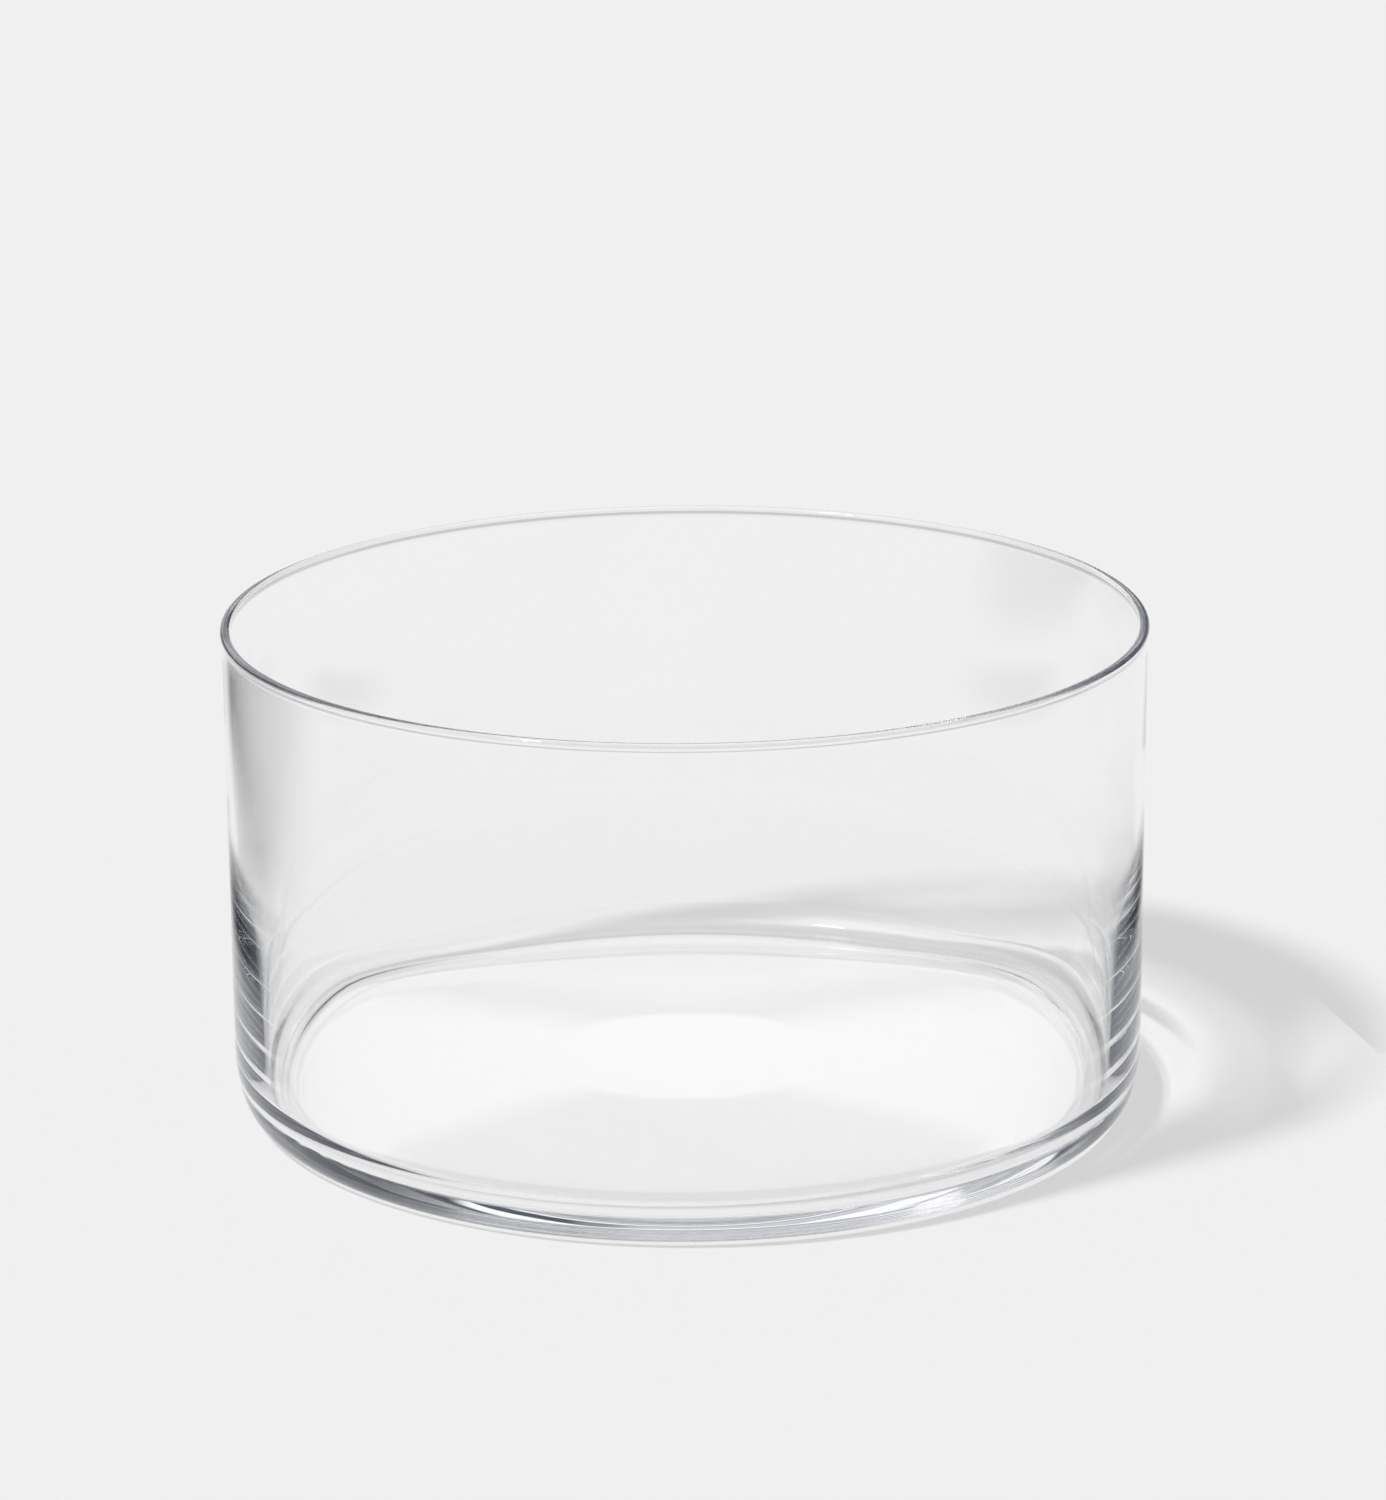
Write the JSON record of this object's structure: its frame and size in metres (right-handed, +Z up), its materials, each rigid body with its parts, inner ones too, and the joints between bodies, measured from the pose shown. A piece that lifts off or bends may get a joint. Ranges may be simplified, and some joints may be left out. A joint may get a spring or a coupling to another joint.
{
  "type": "serving bowl",
  "caption": "Straight-walled cylindrical serving bowl of clear glass, with a thin wall that thickens towards its foot, a rounded rim bead and a heavy flat base on a foot ring.",
  "frame": {"origin": "middle of the foot, in the plane of the table that the foot ring rests on", "axes": "+Z up along the bowl's axis of revolution, out of its mouth; +X and +Y are across the bowl, which is the same all round"},
  "size_m": [0.23, 0.23, 0.124],
  "materials": {
    "clear_glass": "clear, colourless, fire-polished"
  },
  "bodies": {
    "root": {"bowl": "clear_glass"}
  },
  "joints": []
}
